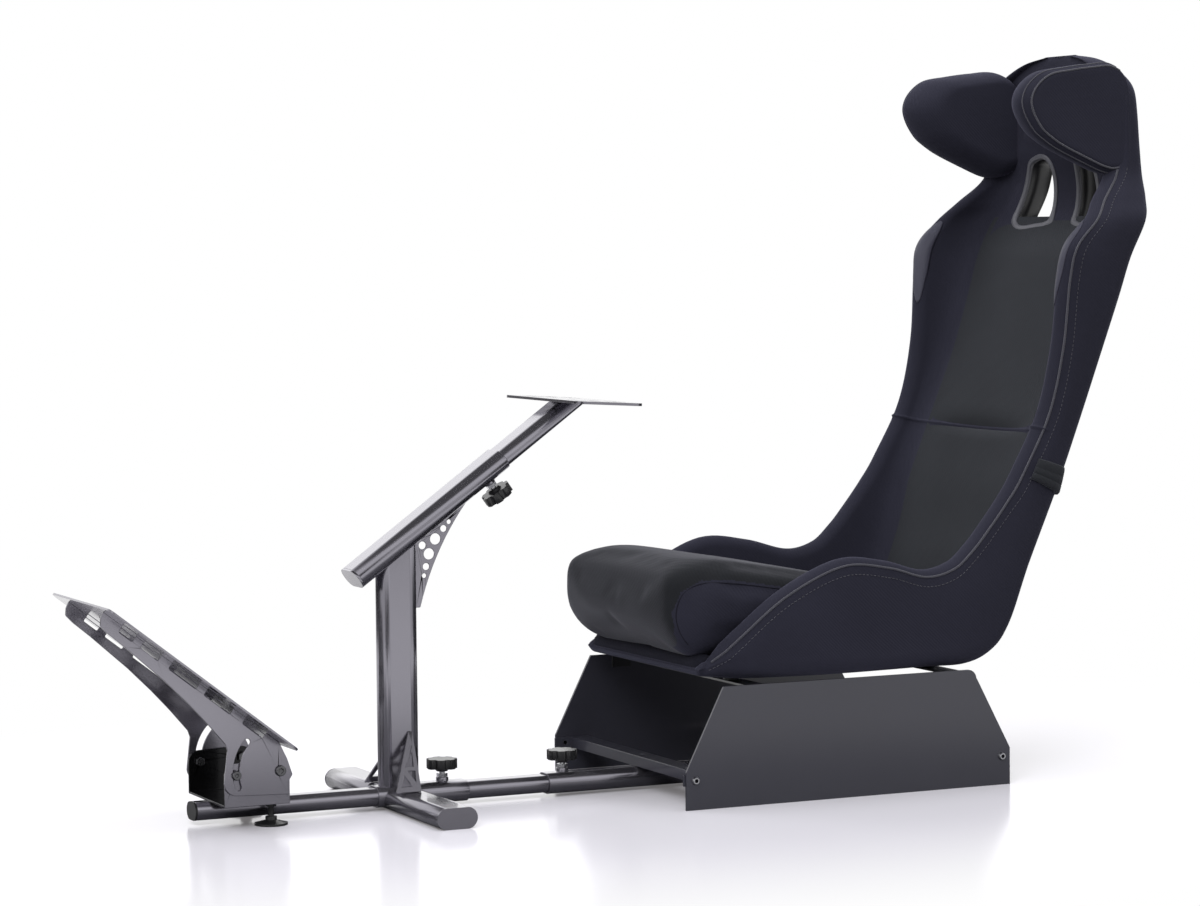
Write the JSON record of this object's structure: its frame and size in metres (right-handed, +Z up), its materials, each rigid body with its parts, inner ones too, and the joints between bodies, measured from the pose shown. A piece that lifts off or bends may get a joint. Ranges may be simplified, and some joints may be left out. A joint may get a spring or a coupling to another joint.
{
  "type": "sim racing cockpit",
  "caption": "Sim racing cockpit: high-backed bucket seat on side panels, sliding floor rail, upright with an inclined wheel column and plate, and a tilting slotted pedal plate.",
  "frame": {"origin": "middle of the underside of the front cross foot, on the floor", "axes": "+Y runs back from the pedals to the seat, +Z up, +X towards the side of the seat that the picture shows"},
  "size_m": [0.474, 1.6144, 1.075],
  "materials": {
    "frame_paint": "glossy dark grey paint on flat-oval steel tube",
    "panel_paint": "satin charcoal powder coat",
    "black_paint": "satin black powder coat",
    "knit_fabric": "black knit fabric over foam",
    "grey_trim": "matte grey edging",
    "black_webbing": "black woven hem",
    "black_plastic": "black moulded plastic",
    "zinc_steel": "bright zinc-plated steel"
  },
  "bodies": {
    "seat_base": {"side_panel_left": "panel_paint", "side_panel_right": "panel_paint", "front_cross_bar": "panel_paint", "rear_cross_bar": "panel_paint", "seat_rail_front": "black_paint", "seat_rail_rear": "black_paint", "panel_bolts_left": "zinc_steel", "panel_bolts_right": "zinc_steel", "rear_sleeve": "frame_paint", "seat_shell": "knit_fabric", "seat_cushion": "knit_fabric", "back_pad_lower": "knit_fabric", "back_pad_upper": "knit_fabric", "head_pad": "knit_fabric", "head_wing_left": "knit_fabric", "head_wing_right": "knit_fabric", "slot_trim_left": "grey_trim", "slot_trim_right": "grey_trim", "back_cover_hem": "black_webbing"},
    "rail_and_bracket": {"pedal_rail": "frame_paint", "rail_cap": "black_plastic", "pedal_bracket": "frame_paint", "leveller_left": "black_plastic", "leveller_right": "black_plastic", "pivot_bolts": "zinc_steel", "lock_bolts": "zinc_steel"},
    "column_frame": {"cross_foot": "frame_paint", "foot_cap_left": "frame_paint", "foot_cap_right": "frame_paint", "front_sleeve": "frame_paint", "upright": "frame_paint", "column_outer": "frame_paint", "column_cap": "frame_paint", "column_gusset": "frame_paint", "base_gusset_left": "frame_paint", "base_gusset_right": "frame_paint"},
    "wheel_column": {"column_inner": "frame_paint", "wheel_plate": "frame_paint"},
    "pedal_deck": {"pedal_side_left": "frame_paint", "pedal_side_right": "frame_paint", "pedal_plate": "frame_paint"},
    "front_knob_body": {"front_knob": "black_plastic"},
    "rear_knob_body": {"rear_knob": "black_plastic"},
    "column_knob_body": {"column_knob": "black_plastic"}
  },
  "joints": [
    {"name": "rail_slide", "type": "slide", "parent": "seat_base", "child": "rail_and_bracket", "axis": [0, 1, 0], "range_m": [-0.15, 0.05]},
    {"name": "column_slide", "type": "slide", "parent": "rail_and_bracket", "child": "column_frame", "axis": [0, 1, 0], "range_m": [-0.12, 0.06]},
    {"name": "wheel_reach", "type": "slide", "parent": "column_frame", "child": "wheel_column", "axis": [0, 0.8141, 0.5807], "range_m": [-0.08, 0.06]},
    {"name": "deck_tilt", "type": "hinge", "parent": "rail_and_bracket", "child": "pedal_deck", "pos_m": [0, -0.2067, 0.0785], "axis": [1, 0, 0], "range_deg": [-12, 35]},
    {"name": "front_knob_turn", "type": "hinge", "parent": "column_frame", "child": "front_knob_body", "pos_m": [0, 0.067, 0.06], "axis": [0, 0, 1], "continuous": true},
    {"name": "rear_knob_turn", "type": "hinge", "parent": "seat_base", "child": "rear_knob_body", "pos_m": [0, 0.255, 0.06], "axis": [0, 0, 1], "continuous": true},
    {"name": "column_knob_turn", "type": "hinge", "parent": "column_frame", "child": "column_knob_body", "pos_m": [0, 0.13514, 0.4734], "axis": [0, 0.5807, -0.8141], "continuous": true}
  ]
}
